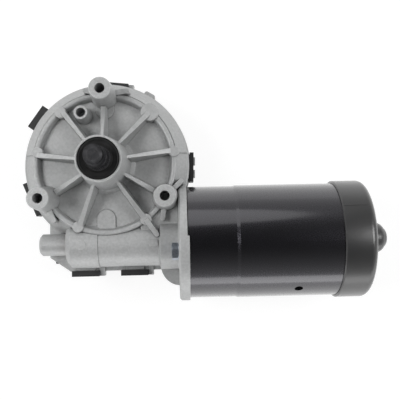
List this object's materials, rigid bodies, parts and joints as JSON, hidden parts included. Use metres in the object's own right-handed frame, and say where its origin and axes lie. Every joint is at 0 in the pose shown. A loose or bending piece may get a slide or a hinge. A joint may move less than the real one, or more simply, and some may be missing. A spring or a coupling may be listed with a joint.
{
  "type": "wiper motor",
  "caption": "Windscreen wiper motor: ribbed cast worm gearbox with threaded output shaft and tapped mounting bosses, driven by a round permanent-magnet motor with a capped can.",
  "frame": {"origin": "on the output shaft's axis, in the plane of the mounting boss faces", "axes": "+Z out along the output shaft, +X along the motor towards its end cap, +Y from the motor across to the far mounting boss"},
  "size_m": [0.1962, 0.1199, 0.0852],
  "materials": {
    "cast_aluminium": "matte as-cast",
    "cover_plastic": "moulded",
    "cap_plastic": "moulded",
    "card_plastic": "moulded",
    "wheel_plastic": "moulded acetal",
    "rubber": "matte",
    "can_paint": "satin paint",
    "black_steel": "black oxide",
    "steel": "ground",
    "spring_steel": "rolled",
    "zinc_steel": "zinc plated",
    "lamination_steel": "stamped",
    "bronze": "sintered",
    "brass": "stamped",
    "tinned_brass": "tinned",
    "copper": "enamelled wire",
    "ferrite": "sintered",
    "carbon": "pressed"
  },
  "bodies": {
    "motor_frame": {"gear_housing": "cast_aluminium", "gear_cover": "cover_plastic", "cover_seal": "rubber", "front_bush": "bronze", "thrust_washers": "spring_steel", "shaft_seal_cap": "rubber", "contact_plate": "cover_plastic", "contact_fingers": "brass", "thrust_button": "steel", "connector_terminals": "tinned_brass", "tail_bush": "bronze", "tail_pad": "steel", "thrust_ball": "steel", "bearing_outer_race": "steel", "bearing_balls": "steel", "bearing_clip": "spring_steel", "can_gasket": "rubber", "yoke_can": "can_paint", "end_cap": "cap_plastic", "can_end_plate": "zinc_steel", "flange_bolts": "zinc_steel", "brush_card": "card_plastic", "brushes": "carbon", "brush_springs": "spring_steel", "choke_cores": "ferrite", "choke_windings": "copper", "magnets": "ferrite", "magnet_springs": "spring_steel", "rear_bush": "bronze", "bush_retainer": "spring_steel"},
    "output_train": {"output_shaft": "black_steel", "shaft_circlip": "spring_steel", "wheel_hub": "steel", "worm_wheel": "wheel_plastic", "park_disc": "brass"},
    "armature": {"armature_shaft": "steel", "worm": "steel", "bearing_inner_race": "steel", "armature_core": "lamination_steel", "armature_winding": "copper", "commutator_sleeve": "card_plastic", "commutator_bars": "copper"}
  },
  "joints": [
    {"name": "armature_spin", "type": "hinge", "parent": "motor_frame", "child": "armature", "pos_m": [0, -0.042, -0.028], "axis": [1, 0, 0], "continuous": true},
    {"name": "output_spin", "type": "hinge", "parent": "motor_frame", "child": "output_train", "pos_m": [0, 0, 0], "axis": [0, 0, 1], "continuous": true}
  ],
  "couplings": [
    {"joint": "output_spin", "follows": "armature_spin", "ratio": -0.016667}
  ]
}
